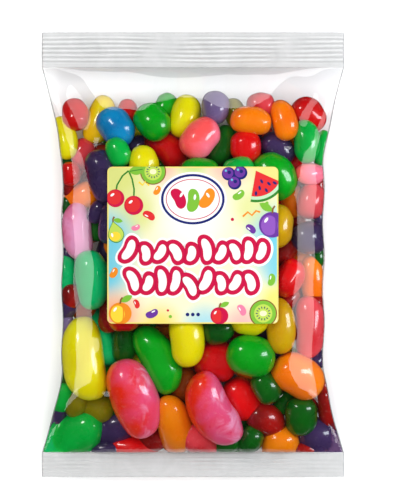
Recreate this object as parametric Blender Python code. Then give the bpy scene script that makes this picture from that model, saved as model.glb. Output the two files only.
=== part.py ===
"""A clear pillow bag of jelly beans, lying on its back, with a square label on its front.

The bag is a tube of film, pressed flat and crimped shut at both ends. Between the two ribbed seals it is
blown up by its filling: it narrows at the waist, stands on a flat patch, and its upper side is lumpy where
beans push the film out. The bag, sealed and full, is one solid. The label is a second, thin one on top.

Frame: metres, +X across the bag, +Y along it towards the top seal, +Z up out of its front.
The origin is under the middle of the bag, on the surface that it lies on.
"""

import math
import random

import bmesh
import bpy
import numpy as np

# The film tube
BAG_WIDTH = 0.150  # flat width, which the seals keep
BAG_LENGTH = 0.221
WAIST_WIDTH = 0.1296
SIDE_RIPPLE = 0.0004  # how far the sides waver in and out
SIDE_RIPPLE_PITCH = 0.033
SIDE_RIPPLE_SHIFT = 1.7  # in radians, so that the two sides waver differently

# The crimped seals
TOP_SEAL = 0.0175
BOTTOM_SEAL = 0.012
RIB_PITCH = 0.0022
RIB_HEIGHT = 0.0007
SEAL_MARGIN = 0.0010  # flat strip beside the ribs
SEAL_THICKNESS = 0.0006
SEAL_LEVEL = 0.012
SEAL_DROOP = 0.08  # drop for each metre past the seal's inner edge
TOOTH_DEPTH = 0.0006
TEETH_PER_COLUMN = 2

# The filled body between the seals
CROWN_AT_BOTTOM_SEAL = 0.041
CROWN_AT_TOP_SEAL = 0.034
SIDE_LEVEL = 0.018  # height at which the body is widest
TOP_NARROWING = 0.048  # from the seal to the waist
BOTTOM_NARROWING = 0.042
NARROWING_POWER = 1.3
TOP_SHOULDER = 0.050  # from the seal to the full height
BOTTOM_SHOULDER = 0.040
BELLY_SHOULDER = 0.035  # from either seal to the flat underside
BELLY_PRESS = 1.10  # how far past the floor the underside would bulge
LENS = (2.0, 1.0)  # powers of the cross-section beside a seal
FRONT_ROUNDING = (2.6, 2.0)  # and in the body, above the widest line
BACK_ROUNDING = (4.0, 2.5)  # and below it
EDGE_BLEND = 0.25  # share of the section's rise in which its two faces part at the sides
RELIEF_BLEND = 0.5  # share in which lumps and folds fade in from the sides

# The lumps that beans press into the front
LUMP_HEIGHT = 0.0022
LUMP_PITCH_BOTTOM = 0.026
LUMP_PITCH_TOP = 0.017
LUMP_ROW_STEP = 0.9  # of the pitch, as every other row is shifted sideways
LUMP_STAGGER = 0.5  # of the pitch
LUMP_SCATTER = 0.12  # of the pitch
LUMP_RADIUS = 0.36  # of the pitch
LUMP_SLENDERNESS = 1.5
LUMP_CLEAR_OF_SEAL = 0.012
LUMP_SEED = 7

# The label
LABEL_WIDTH = 0.084
LABEL_HEIGHT = 0.077
LABEL_MIDDLE_Y = 0.0047
LABEL_CORNER = 0.0025
LABEL_THICKNESS = 0.0004
LABEL_GAP = 0.0003
LABEL_BORDER = 0.004  # width of smooth film round the label
LABEL_BLEND = 0.006  # and of the strip past it over which the lumps fade in

# Fineness
COLUMNS = 32  # across the front, and as many across the back
BODY_ROWS = 44
LABEL_COLUMNS = 14
LABEL_ROWS = 13
LABEL_CORNER_SEGMENTS = 4
SHARP_ANGLE = math.radians(50)  # a steeper edge stays sharp where the rest is shaded smooth

HALF_LENGTH = BAG_LENGTH / 2
TOP_EDGE = HALF_LENGTH - TOP_SEAL  # where the top seal meets the body
BOTTOM_EDGE = -HALF_LENGTH + BOTTOM_SEAL

# Soft folds that fan out from a seal: where each starts across the bag, how far it leans per metre,
# its width, how far from the seal it is highest, and its height. Negative heights are creases.
TOP_FOLDS = (
    (-0.071, 1.00, 0.0075, 0.014, -0.0022),
    (-0.058, 0.55, 0.0080, 0.012, 0.0012),
    (-0.034, 0.50, 0.0070, 0.008, -0.0011),
    (-0.006, -0.10, 0.0100, 0.009, 0.0010),
    (0.020, -0.45, 0.0080, 0.008, -0.0010),
    (0.047, -0.70, 0.0080, 0.010, 0.0011),
    (0.071, -1.00, 0.0075, 0.014, -0.0022),
)
BOTTOM_FOLDS = (
    (-0.072, 0.80, 0.0075, 0.010, -0.0020),
    (-0.040, 0.30, 0.0080, 0.007, 0.0008),
    (0.008, 0.10, 0.0090, 0.007, -0.0008),
    (0.045, -0.40, 0.0080, 0.008, 0.0008),
    (0.072, -0.80, 0.0075, 0.010, -0.0020),
)


def clear_scene():
    for obj in list(bpy.data.objects):
        bpy.data.objects.remove(obj)


def make_material(name, colour, roughness, metallic=0.0):
    material = bpy.data.materials.new(name)
    material.use_nodes = True
    shader = material.node_tree.nodes["Principled BSDF"]
    shader.inputs["Base Color"].default_value = (*colour, 1.0)
    shader.inputs["Roughness"].default_value = roughness
    shader.inputs["Metallic"].default_value = metallic
    return material


def smooth(t):
    """0 below 0, 1 above 1, and an S-curve between."""
    t = np.clip(t, 0.0, 1.0)
    return t * t * (3.0 - 2.0 * t)


def shoulder(distance, reach):
    """A quarter ellipse: 0 at the seal, upright there, and 1 from reach onwards."""
    left = 1.0 - np.clip(distance / reach, 0.0, 1.0)
    return np.sqrt(1.0 - left**2)


def from_seals(y):
    """Distances into the body from the top and from the bottom seal; 0 on a seal."""
    return max(TOP_EDGE - y, 0.0), max(y - BOTTOM_EDGE, 0.0)


def fullness(y):
    """0 on a seal and 1 in the filled body."""
    from_top, from_bottom = from_seals(y)
    return float(smooth(from_top / TOP_SHOULDER) * smooth(from_bottom / BOTTOM_SHOULDER))


def half_width(y, side):
    """From the middle line to the bag's edge. side is -1 on the left and 1 on the right."""
    from_top, from_bottom = from_seals(y)
    flare = (
        max(1.0 - from_top / TOP_NARROWING, 0.0) ** NARROWING_POWER
        + max(1.0 - from_bottom / BOTTOM_NARROWING, 0.0) ** NARROWING_POWER
    )
    phase = math.tau * y / SIDE_RIPPLE_PITCH + SIDE_RIPPLE_SHIFT * side
    ripple = SIDE_RIPPLE * math.sin(phase) * fullness(y)
    return WAIST_WIDTH / 2 + (BAG_WIDTH - WAIST_WIDTH) / 2 * flare + ripple


def widest_level(y):
    """Height of the line that runs down each side, and of the seals."""
    past = max(y - TOP_EDGE, BOTTOM_EDGE - y, 0.0)
    return SEAL_LEVEL + (SIDE_LEVEL - SEAL_LEVEL) * fullness(y) - SEAL_DROOP * past


def section(across, near_seal, in_body, full):
    """A cross-section's shape from 0 at its edges to 1 in the middle, sharp-edged beside a seal."""
    flat_power, edge_power = (a + (b - a) * full for a, b in zip(near_seal, in_body))
    return (1.0 - np.abs(across) ** flat_power) ** (1.0 / edge_power)


def folds(x, distance, fold_list):
    """Height that the soft folds beside one seal add, at x and that distance from the seal."""
    height = 0.0
    for start, lean, width, reach, rise in fold_list:
        along = distance / reach * math.exp(1.0 - distance / reach)
        height = height + rise * along * np.exp(-(((x - start - lean * distance) / width) ** 2))
    return height


def bean_lumps():
    """Where beans press the film out: staggered rows, whose beans are larger towards the bottom seal."""
    draw = random.Random(LUMP_SEED)
    lumps = []
    y = BOTTOM_EDGE + LUMP_CLEAR_OF_SEAL
    row = 0
    while y < TOP_EDGE - LUMP_CLEAR_OF_SEAL:
        share = (y - BOTTOM_EDGE) / (TOP_EDGE - BOTTOM_EDGE)
        pitch = LUMP_PITCH_BOTTOM + (LUMP_PITCH_TOP - LUMP_PITCH_BOTTOM) * share
        count = int(WAIST_WIDTH / pitch)
        shift = LUMP_STAGGER * (row % 2 - 0.5)
        for i in range(count):
            at_x = (i - (count - 1) / 2 + shift + draw.uniform(-LUMP_SCATTER, LUMP_SCATTER)) * pitch
            at_y = y + draw.uniform(-LUMP_SCATTER, LUMP_SCATTER) * pitch
            turn = draw.uniform(0.0, math.pi)
            lumps.append((at_x, at_y, turn, LUMP_RADIUS * pitch))
        y += LUMP_ROW_STEP * pitch
        row += 1
    return lumps


def label_mask(x, y):
    """1 away from the label, and 0 under it and beside it, where the sticker holds the film smooth."""
    beside = np.maximum(
        np.abs(x) - LABEL_WIDTH / 2,
        np.abs(y - LABEL_MIDDLE_Y) - LABEL_HEIGHT / 2,
    )
    return smooth((beside - LABEL_BORDER) / LABEL_BLEND)


def lump_relief(x, y, lumps):
    relief = np.zeros_like(x)
    for at_x, at_y, turn, half_thick in lumps:
        dx, dy = x - at_x, y - at_y
        along = (dx * math.cos(turn) + dy * math.sin(turn)) / LUMP_SLENDERNESS
        beside = dy * math.cos(turn) - dx * math.sin(turn)
        relief = np.maximum(relief, np.exp(-(along**2 + beside**2) / half_thick**2))
    return LUMP_HEIGHT * relief * label_mask(x, y)


def front_height(x, y, lumps=()):
    """Height of the bag's upper side in the body, at each x of one row."""
    from_top, from_bottom = from_seals(y)
    full = fullness(y)
    share = (y - BOTTOM_EDGE) / (TOP_EDGE - BOTTOM_EDGE)
    crown = CROWN_AT_BOTTOM_SEAL + (CROWN_AT_TOP_SEAL - CROWN_AT_BOTTOM_SEAL) * share
    rise = shoulder(from_top, TOP_SHOULDER) * shoulder(from_bottom, BOTTOM_SHOULDER)
    reach = np.where(x < 0.0, half_width(y, -1), half_width(y, 1))
    shape = section(np.clip(x / reach, -1.0, 1.0), LENS, FRONT_ROUNDING, full)
    level = widest_level(y)
    relief = folds(x, from_top, TOP_FOLDS) + folds(x, from_bottom, BOTTOM_FOLDS)
    return (
        level
        + SEAL_THICKNESS / 2 * np.minimum(1.0, shape / EDGE_BLEND)
        + (crown - level) * rise * shape
        + (relief + lump_relief(x, y, lumps) * full) * np.minimum(1.0, shape / RELIEF_BLEND)
    )


def back_height(x, y):
    """Height of the underside in the body, flat where it lies on the surface below."""
    from_top, from_bottom = from_seals(y)
    drop = shoulder(from_top, BELLY_SHOULDER) * shoulder(from_bottom, BELLY_SHOULDER)
    reach = np.where(x < 0.0, half_width(y, -1), half_width(y, 1))
    shape = section(np.clip(x / reach, -1.0, 1.0), LENS, BACK_ROUNDING, fullness(y))
    level = widest_level(y)
    height = (
        level
        - SEAL_THICKNESS / 2 * np.minimum(1.0, shape / EDGE_BLEND)
        - level * BELLY_PRESS * drop * shape
    )
    return np.maximum(height, 0.0)


def spread(count, full):
    """Places across the bag from -1 to 1: even on a seal, and closer together at a rounded edge."""
    even = np.linspace(-1.0, 1.0, count + 1)
    rounded = -np.cos(np.linspace(0.0, math.pi, count + 1))
    return even + (rounded - even) * full


def ring_from(x, y, front, back):
    """One closed cross-section: across the front from left to right, and back underneath."""
    ys = np.broadcast_to(y, x.shape)
    over = np.stack([x, ys, front], axis=1)
    under = np.stack([x, ys, back], axis=1)[-2:0:-1]
    return np.concatenate([over, under])


def body_ring(y, lumps):
    across = spread(COLUMNS, fullness(y))
    x = np.where(across < 0.0, across * half_width(y, -1), across * half_width(y, 1))
    front, back = front_height(x, y, lumps), back_height(x, y)
    front[[0, -1]] = back[[0, -1]] = widest_level(y)
    return ring_from(x, y, front, back)


def seal_ring(y, rib, count=COLUMNS, teeth=0.0):
    """A cross-section of a flat seal, lifted by rib. Every second point of an outer edge is cut back by teeth."""
    x = np.linspace(-BAG_WIDTH / 2, BAG_WIDTH / 2, count + 1)
    ends = np.full(count + 1, y)
    ends[1::2] -= math.copysign(teeth, y)
    level = widest_level(y) + rib
    front = np.full(count + 1, level + SEAL_THICKNESS / 2)
    back = front - SEAL_THICKNESS
    front[[0, -1]] = back[[0, -1]] = level
    return ring_from(x, ends, front, back)


def seal_rings(edge, outer):
    """The ribbed rings of one seal, from its inner edge outwards, without its toothed outer edge."""
    way = math.copysign(1.0, outer - edge)
    ribbed = abs(outer - edge) - 2 * SEAL_MARGIN
    ribs = round(ribbed / RIB_PITCH)
    rings = []
    for i in range(2 * ribs + 1):
        y = edge + way * (SEAL_MARGIN + ribbed * i / (2 * ribs))
        lift = RIB_HEIGHT / 2 * (-1) ** i
        rings.append(seal_ring(y, lift))
    return rings


def add_ring(mesh, ring):
    return [mesh.verts.new(point) for point in ring]


def bridge(mesh, near, far, step=1):
    """Faces between two rings. far holds step points for each point of near."""
    count = len(near)
    for i in range(count):
        after = (i + 1) % count
        outer = [far[(i * step + k) % len(far)] for k in range(step + 1)]
        mesh.faces.new([near[i], near[after], *reversed(outer)])


def cap(mesh, ring):
    """Closes a seal's cut end with a strip between its front and back edges."""
    half = len(ring) // 2
    for i in range(half):
        corners = [ring[i], ring[i + 1], ring[-i - 1], ring[-i % len(ring)]]
        mesh.faces.new(list(dict.fromkeys(corners)))


def finish_mesh(name, mesh, material):
    bmesh.ops.recalc_face_normals(mesh, faces=mesh.faces)
    data = bpy.data.meshes.new(name)
    mesh.to_mesh(data)
    mesh.free()
    data.materials.append(material)
    data.shade_smooth()
    data.set_sharp_from_angle(angle=SHARP_ANGLE)
    obj = bpy.data.objects.new(name, data)
    bpy.context.scene.collection.objects.link(obj)
    return obj


def make_bag(material):
    lumps = bean_lumps()
    turns = np.linspace(0.0, math.pi, BODY_ROWS + 1)
    body_rows = (TOP_EDGE + BOTTOM_EDGE) / 2 - (TOP_EDGE - BOTTOM_EDGE) / 2 * np.cos(turns)
    rings = seal_rings(BOTTOM_EDGE, -HALF_LENGTH)[::-1]
    rings += [body_ring(y, lumps) for y in body_rows]
    rings += seal_rings(TOP_EDGE, HALF_LENGTH)

    mesh = bmesh.new()
    loops = [add_ring(mesh, ring) for ring in rings]
    for near, far in zip(loops, loops[1:]):
        bridge(mesh, near, far)
    points_per_column = 2 * TEETH_PER_COLUMN
    for end, inner in ((-HALF_LENGTH, loops[0]), (HALF_LENGTH, loops[-1])):
        outer = add_ring(mesh, seal_ring(end, 0.0, COLUMNS * points_per_column, TOOTH_DEPTH))
        bridge(mesh, inner, outer, points_per_column)
        cap(mesh, outer)
    return finish_mesh("bag", mesh, material)


def make_label(material):
    mesh = bmesh.new()
    bmesh.ops.create_grid(mesh, x_segments=LABEL_COLUMNS, y_segments=LABEL_ROWS, size=0.5)
    bmesh.ops.scale(mesh, vec=(LABEL_WIDTH, LABEL_HEIGHT, 1.0), verts=mesh.verts)
    corners = [v for v in mesh.verts if len(v.link_edges) == 2]
    bmesh.ops.bevel(
        mesh,
        geom=corners,
        offset=LABEL_CORNER,
        segments=LABEL_CORNER_SEGMENTS,
        profile=0.5,
        affect="VERTICES",
    )
    for vert in mesh.verts:
        vert.co.y += LABEL_MIDDLE_Y
        vert.co.z = float(front_height(np.array([vert.co.x]), vert.co.y)[0]) + LABEL_GAP
    label = finish_mesh("label", mesh, material)
    solid = label.modifiers.new("thickness", "SOLIDIFY")
    solid.thickness = LABEL_THICKNESS
    solid.offset = 1.0
    return label


def main():
    clear_scene()
    make_bag(make_material("clear_film", (0.90, 0.92, 0.94), 0.12))
    make_label(make_material("label_paper", (0.93, 0.86, 0.62), 0.35))


main()
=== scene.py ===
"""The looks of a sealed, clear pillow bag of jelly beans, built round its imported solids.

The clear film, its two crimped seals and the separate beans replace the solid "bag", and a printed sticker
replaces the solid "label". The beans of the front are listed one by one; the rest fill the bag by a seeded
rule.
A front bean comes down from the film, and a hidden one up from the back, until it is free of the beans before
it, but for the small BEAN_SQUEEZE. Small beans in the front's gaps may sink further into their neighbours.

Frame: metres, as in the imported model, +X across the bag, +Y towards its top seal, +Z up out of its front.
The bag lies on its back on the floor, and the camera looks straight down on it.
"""

import math
import random
from dataclasses import dataclass

import bmesh
import bpy
import numpy as np
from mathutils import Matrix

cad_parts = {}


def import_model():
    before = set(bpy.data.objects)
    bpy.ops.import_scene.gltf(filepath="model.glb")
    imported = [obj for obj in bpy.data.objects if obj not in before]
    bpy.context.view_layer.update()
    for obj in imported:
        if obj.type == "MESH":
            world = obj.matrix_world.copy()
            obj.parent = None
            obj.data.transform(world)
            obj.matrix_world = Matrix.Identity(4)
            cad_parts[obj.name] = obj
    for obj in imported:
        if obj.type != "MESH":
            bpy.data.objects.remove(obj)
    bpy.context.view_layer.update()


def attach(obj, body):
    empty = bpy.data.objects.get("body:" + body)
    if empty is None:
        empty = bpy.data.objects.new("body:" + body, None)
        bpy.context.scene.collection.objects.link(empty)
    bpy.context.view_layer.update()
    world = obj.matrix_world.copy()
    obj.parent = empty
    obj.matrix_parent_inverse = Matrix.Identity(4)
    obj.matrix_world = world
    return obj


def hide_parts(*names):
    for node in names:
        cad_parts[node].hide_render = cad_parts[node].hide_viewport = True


MM = 0.001

# The bag's shape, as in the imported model
BAG_WIDTH = 0.150
BAG_LENGTH = 0.221
WAIST_WIDTH = 0.1296
SIDE_RIPPLE = 0.0004
SIDE_RIPPLE_PITCH = 0.033
SIDE_RIPPLE_SHIFT = 1.7
TOP_SEAL = 0.0175
BOTTOM_SEAL = 0.012
RIB_PITCH = 0.0022
RIB_HEIGHT = 0.0007
SEAL_MARGIN = 0.0010
SEAL_THICKNESS = 0.0006
SEAL_LEVEL = 0.012
SEAL_DROOP = 0.08
TOOTH_DEPTH = 0.0006
CROWN_AT_BOTTOM_SEAL = 0.041
CROWN_AT_TOP_SEAL = 0.034
SIDE_LEVEL = 0.018
TOP_NARROWING = 0.048
BOTTOM_NARROWING = 0.042
NARROWING_POWER = 1.3
TOP_SHOULDER = 0.050
BOTTOM_SHOULDER = 0.040
BELLY_SHOULDER = 0.035
BELLY_PRESS = 1.10
LENS = (2.0, 1.0)
FRONT_ROUNDING = (2.6, 2.0)
BACK_ROUNDING = (4.0, 2.5)
EDGE_BLEND = 0.25
RELIEF_BLEND = 0.5

HALF_LENGTH = BAG_LENGTH / 2
TOP_EDGE = HALF_LENGTH - TOP_SEAL
BOTTOM_EDGE = -HALF_LENGTH + BOTTOM_SEAL

# Soft folds that fan out from a seal: where each starts across the bag, how far it leans per metre,
# its width, how far from the seal it is highest, and its height. Negative heights are creases.
TOP_FOLDS = (
    (-0.073, 0.55, 0.0060, 0.014, -0.0014),
    (-0.058, 0.55, 0.0080, 0.012, 0.0012),
    (-0.034, 0.50, 0.0070, 0.008, -0.0011),
    (-0.006, -0.10, 0.0100, 0.009, 0.0010),
    (0.020, -0.45, 0.0080, 0.008, -0.0010),
    (0.047, -0.70, 0.0080, 0.010, 0.0011),
    (0.073, -0.55, 0.0060, 0.014, -0.0014),
)
BOTTOM_FOLDS = (
    (-0.072, 0.80, 0.0075, 0.010, -0.0020),
    (-0.040, 0.30, 0.0080, 0.007, 0.0008),
    (0.008, 0.10, 0.0090, 0.007, -0.0008),
    (0.045, -0.40, 0.0080, 0.008, 0.0008),
    (0.072, -0.80, 0.0075, 0.010, -0.0020),
)

# The sticker
LABEL_WIDTH = 0.084
LABEL_HEIGHT = 0.077
LABEL_MIDDLE_Y = 0.0047
LABEL_CORNER = 0.0025
LABEL_LIFT = 0.0003  # above the film
LABEL_THICKNESS = 0.00015
LABEL_BORDER = 0.004
LABEL_BLEND = 0.006
INK_STEP = 0.00005  # each layer of print is this much above the one below
PRINT_CELL = 0.003  # the sticker and its print are cut this fine, so that they follow the film

# Beans
FILM_CLEARANCE = 0.0004
BEAN_SQUEEZE = 0.0018  # how far two touching beans may sink into each other
BEAN_BLUNTNESS = 2.4  # 2 would be an ellipse
BUMP_HEIGHT = 0.0008  # of the film over a bean at the front
SLACK = 0.00013  # height of the film's slack waves
BEAN_RINGS = 20
BEAN_SIDES = 26
BLUNTNESS_SPREAD = 0.15  # beans differ this much from BEAN_BLUNTNESS,
TAPER_SPREAD = 0.07  # in how much fuller one end is than the other,
FLATTEST = 0.93  # in how flat they are,
LUMPS = ((2, 1), (3, 2), (1, 3), (4, 1))  # and in low lumps: waves along a bean and round it,
LUMP_HEIGHTS = (0.008, 0.020)  # from and to, as shares of half its width
HOLLOW_DEPTH = 1.2  # of a bent bean's hollow side, as a share of its bend and half its width
HOLLOW_REACH = 0.45  # along it, as a share of half its length
FRONT_BEND = 0.02  # of a front bean whose row gives none
SWAY_MIDDLE = 0.35  # moves a bent bean's ends and its middle to either side of its axis
CHAIN_BALLS = 5  # that stand for a bean while it is placed
CHAIN_REACH = 0.66  # of the outer balls' middles, as a share of half its length
SLANT_LIMIT = 1.4  # where the film is steeper, a bean may touch it
LEAN_LIMIT = 0.6  # radians
LEAN_REACH = 0.1  # how far past the middles of its round ends a bean feels the film, as a share of its width


@dataclass
class Bean:
    """One jelly bean, in metres and radians. sink is how far under the film it starts its way down."""

    flavour: str
    x: float
    y: float
    length: float
    width: float
    turn: float
    bend: float = 0.04
    sink: float = 0.0
    tilt: float = 0.0
    z: float = 0.0


# The beans that show on the front, in the order in which they are placed, so that a later one lies behind
# the ones it meets: flavour, x, y, length, width, turn of the long axis from +X, sink and bend, in mm and
# degrees. Sink is 0 and bend is FRONT_BEND where a row leaves them out. A positive bend is hollow on the
# axis's left side.
FRONT_BEANS = (
    # below the label
    ("pink_red", -29, -71, 41, 24, 109),
    ("pink_red", 10, -76.5, 40.5, 22.5, 118, 0, -0.08),
    ("lemon", -53.5, -51.5, 42, 22, 98, 0, -0.05),
    ("green", 28.5, -50, 24.5, 21, 165),
    ("orange", 52, -60, 27.5, 21, 150, 0, 0.03),
    ("lemon", -3, -41, 29, 17.5, 93),
    ("green", -17.5, -51.5, 36.5, 19, 116, 0, 0.05),
    ("orange", -9.5, -84, 33, 18, 102, 0.5, 0.03),
    ("red", 11, -53, 21.5, 20.5, 0, 0, 0),
    ("mint", -59.5, -90, 36, 22.5, 28, 0, 0.03),
    ("blush", 57.5, -36, 31, 15.5, 90, 0, 0.05),
    ("orange", 43.5, -95, 22, 19.5, 90),
    ("lemon", 28, -31.5, 19, 16.5, 0, 0.5, 0),
    ("gold", 43, -35, 28, 15, 95, 0.5, 0.03),
    ("dark_green", 53.5, -80, 20, 16.5, 90, 1),
    ("blush", 3, -93, 25, 16, 135, 1, 0.03),
    ("red", -29.5, -96.5, 25, 14, 0, 1, 0.03),
    ("purple", 64, -92, 28, 19, 140, 1, 0.03),
    ("teal", -46.5, -41, 31, 15.5, 112, 0, -0.03),
    ("red", 24, -71.5, 22.5, 18, 120, 0.5),
    ("red", -34, -31, 16, 14, 0, 2, 0),
    ("dark_green", 36, -65.5, 17, 14, 120, 7),
    ("dull_red", 36, -82, 21, 16, 150, 3),
    ("olive", -48, -75, 20, 15, 150, 3),
    ("dark_green", 28, -92, 16, 13, 60, 3),
    ("dark_green", 12.5, -37, 17, 14, 20, 5),
    ("rust", -4.5, -64.5, 18, 14, 70, 5),
    ("mint", -65, -71, 16, 11, 80, 2),
    ("dull_red", 66.5, -77, 26, 10, 105, 1),
    ("purple", 61.5, -52, 11, 9, 60, 3, 0),
    # left of the label
    ("teal", -50, -12.5, 29.5, 17, 95, 0, 0.03),
    ("light_pink", -57, 11.5, 29, 15.5, 95, 0, -0.04),
    ("orange", -55, 29, 18, 14, 20, 0.5, 0.03),
    ("purple", -40.5, 16, 22, 12.5, 80, 2),
    ("orange", -38.5, 7, 17, 12, 90, 2),
    ("teal", -63, -9, 18, 11, 90),
    ("mint", -57.5, -13, 14, 9, 90, 3),
    ("dull_red", -60.5, -21, 13, 9, 90, 2),
    ("purple", -62.5, -27, 12, 9.5, 60, 1),
    ("dull_red", -41, -30, 18, 12, 80, 6),
    # right of the label
    ("green", 40.5, 39, 25, 19, 130, 0, 0.06),
    ("salmon", 58, 40, 16, 11, 0, 0.5, 0.03),
    ("blush", 58.5, 26.5, 18, 15, 80, 0, 0.03),
    ("orange", 49, 27, 18, 13, 100, 3),
    ("gold", 41.5, 14, 22, 16, 80, 0, 0.03),
    ("purple", 57.5, 8.5, 18, 16.5, 0),
    ("dull_red", 45, 2.5, 20, 14, 60, 2, 0.03),
    ("red", 47, -11.5, 20, 15, 60, 0.5, 0.03),
    ("orange", 59, -13, 25, 12, 92, 0, 0.03),
    ("light_pink", 38.5, -17.5, 12, 9, 70, 2),
    ("dull_red", 46.5, -22.5, 15, 10, 40, 4),
    # above the label
    ("salmon", 3.5, 57.5, 22.5, 17.5, 50),
    ("purple", -44.5, 38.5, 27.5, 16.5, 105, 0, 0.03),
    ("mint", -36.8, 50.5, 15.5, 12, 115),
    ("blue", -38.2, 63, 21.5, 17.5, 126, 0, 0.03),
    ("lemon", -24.5, 44.5, 19, 15, 90),
    ("lemon", -4, 68.5, 22, 15, 75),
    ("green", -20, 65.5, 20, 17, 130, 4),
    ("red", -12.5, 52, 22, 15, 130, 0.5, 0.03),
    ("orange", 28.5, 66, 20.5, 14, 172, 0, 0.03),
    ("mint", 22.5, 41.5, 16, 14, 10),
    ("red", 26, 53, 16.5, 15.5, 90, 0, 0),
    ("orange", 45, 66.5, 21, 13, 105, 0.5, 0.03),
    ("mint", 56, 56, 22, 13.5, 95, 0, 0.03),
    ("purple", 42, 52.5, 19, 14, 140, 0.5, 0.03),
    ("amber", -46.5, 67, 25, 14, 72, 8, 0.03),
    ("red", -58.5, 69.5, 16.5, 13.5, 98),
    ("lemon", -63.5, 58, 23, 12, 103, 0, 0.03),
    ("blush", -55.5, 49.5, 17, 13, 60, 0.5),
    ("red", -60.5, 40, 12, 10, 90, 0.5),
    ("lilac", 11, 72.5, 17, 14, 90, 0.5),
    ("red", 57.5, 69.5, 19, 15, 140, 0.5, 0.03),
    ("green", 3.5, 41, 19, 14, 0, 0.5),
    ("mint", 64, 53, 18, 9, 80, 1),
    ("dark_green", 14.5, 54, 21, 12.5, 70, 2),
    ("dull_red", -25, 53, 16, 12, 30, 3),
    ("red", -32.5, 71, 13, 10, 90, 10),
    ("green", -13.5, 74, 13, 11, 60, 1),
    ("olive", 21, 70, 16, 11, 110, 2),
    ("blush", 33.5, 74, 14, 13, 0, 1),
    # in the gaps between the others, mostly dark flavours that darken the gaps as painted shade
    ("olive", -57.5, -74, 16, 11, 60, 7),
    ("purple", -41, -87, 26, 17, 20, 10),
    ("dark_green", -45, -77, 16, 12, 0, 10),
    ("dark_green", 25.5, -83, 12, 10, 0, 9, 0),
    ("dark_green", 17, -94.5, 14, 9, 20, 4),
    ("dull_red", -20, -92, 16, 12, 10, 7),
    ("dull_red", -52.5, 38.5, 13, 9, 60, 5),
    ("dark_green", -47.5, 13, 13, 9, 90, 8),
    ("purple", -57.5, -2.5, 10, 8, 0, 5),
    ("rust", -54, -27, 13, 10, 30, 6),
    ("rust", 51.5, 34, 12, 9, 80, 5),
    ("dull_red", 51.5, 17.5, 12, 9, 90, 5),
    ("dark_green", -65, -58, 18, 8, 94, 1.5),
    ("purple", -67, -80, 16, 8, 72, 4),
    ("dull_red", 64.5, -64, 12, 8, 90, 1),
    ("dull_red", 62, 33, 12, 7, 90, 1),
    ("purple", 62, 17.5, 10, 7, 90, 1),
    ("dark_green", 62, -1.5, 10, 7, 90, 1),
    ("dull_red", 61.5, -24, 12, 8, 0, 2),
    ("blush", -54.5, 42, 13, 9, 80, 2),
    ("dark_green", -34, -44, 20, 13, 90, 14),
    ("purple", -43, 3, 16, 10, 80, 6),
    ("purple", -47.5, 21, 12, 9, 60, 6),
    ("dull_red", 53, -17, 12, 8, 80, 5),
    ("lilac", -63, -35, 12, 7, 80, 2),
    ("dark_green", -46, -67, 12, 9, 60, 12),
    ("dull_red", 60.5, -70, 12, 8, 70, 4),
    ("dark_green", 45.5, -73.5, 14, 10, 60, 7),
    ("purple", -43.5, -97, 14, 8, 0, 2, 0),
    ("dark_green", 24, -97.5, 12, 7, 0, 2, 0),
    ("dull_red", 55.5, -97, 12, 7, 0, 2, 0),
    ("dark_green", -62, 46, 10, 7, 90, 1),
    ("dull_red", -62, 34, 10, 7, 90, 1),
    ("dark_green", -62, 24, 10, 7, 90, 1),
    ("purple", -62, -1, 10, 7, 90, 1),
)

# How often each flavour comes up among the hidden beans: deep in the bag, and just behind the front ones,
# where the light hardly reaches and only dark flavours are drawn, as painted shade that darkens the gaps
DEEP_FLAVOURS = dict(red=3, green=3, lemon=3, orange=3, blush=2, mint=2, teal=2, purple=2, blue=1)
GAP_SHADE_FLAVOURS = dict(dull_red=5, dark_green=5, purple=5, rust=1)
GAP_LEVEL = 0.25  # the darker ones have their middles above this share of the bag's thickness
HIDDEN_SEED = 5
HIDDEN_ROUNDS = ((0.85, 1.15, 4000), (0.65, 0.85, 4000), (0.45, 0.65, 6000))  # sizes from and to, and tries
HIDDEN_Y = (-0.097, 0.062)
HIDDEN_SIZE_BOTTOM = (0.030, 0.019)  # length and width of a hidden bean
HIDDEN_SIZE_TOP = (0.021, 0.0145)
HIDDEN_LEVEL = 0.50  # their tops stay below this share of the bag's thickness,
HIDDEN_DEPTH = 0.0065  # or this far under the film, where the bag is thin
HIDDEN_THIN = 0.022  # where it counts as thin
HIDDEN_TILT = math.radians(35)


# ---- The shape of the bag. Each function takes arrays of the same shape.


def smooth(t):
    """0 below 0, 1 above 1, and an S-curve between."""
    t = np.clip(t, 0.0, 1.0)
    return t * t * (3.0 - 2.0 * t)


def shoulder(distance, reach):
    """A quarter ellipse: 0 at the seal, upright there, and 1 from reach onwards."""
    left = 1.0 - np.clip(distance / reach, 0.0, 1.0)
    return np.sqrt(1.0 - left**2)


def from_seals(y):
    """Distances into the body from the top and from the bottom seal; 0 on a seal."""
    return np.maximum(TOP_EDGE - y, 0.0), np.maximum(y - BOTTOM_EDGE, 0.0)


def fullness(y):
    """0 on a seal and 1 in the filled body."""
    from_top, from_bottom = from_seals(y)
    return smooth(from_top / TOP_SHOULDER) * smooth(from_bottom / BOTTOM_SHOULDER)


def half_width(x, y):
    """From the middle line to the bag's edge, on the side that x is on."""
    from_top, from_bottom = from_seals(y)
    flare = (
        np.maximum(1.0 - from_top / TOP_NARROWING, 0.0) ** NARROWING_POWER
        + np.maximum(1.0 - from_bottom / BOTTOM_NARROWING, 0.0) ** NARROWING_POWER
    )
    side = np.where(x < 0.0, -1.0, 1.0)
    phase = math.tau * y / SIDE_RIPPLE_PITCH + SIDE_RIPPLE_SHIFT * side
    ripple = SIDE_RIPPLE * np.sin(phase) * fullness(y)
    return WAIST_WIDTH / 2 + (BAG_WIDTH - WAIST_WIDTH) / 2 * flare + ripple


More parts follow.
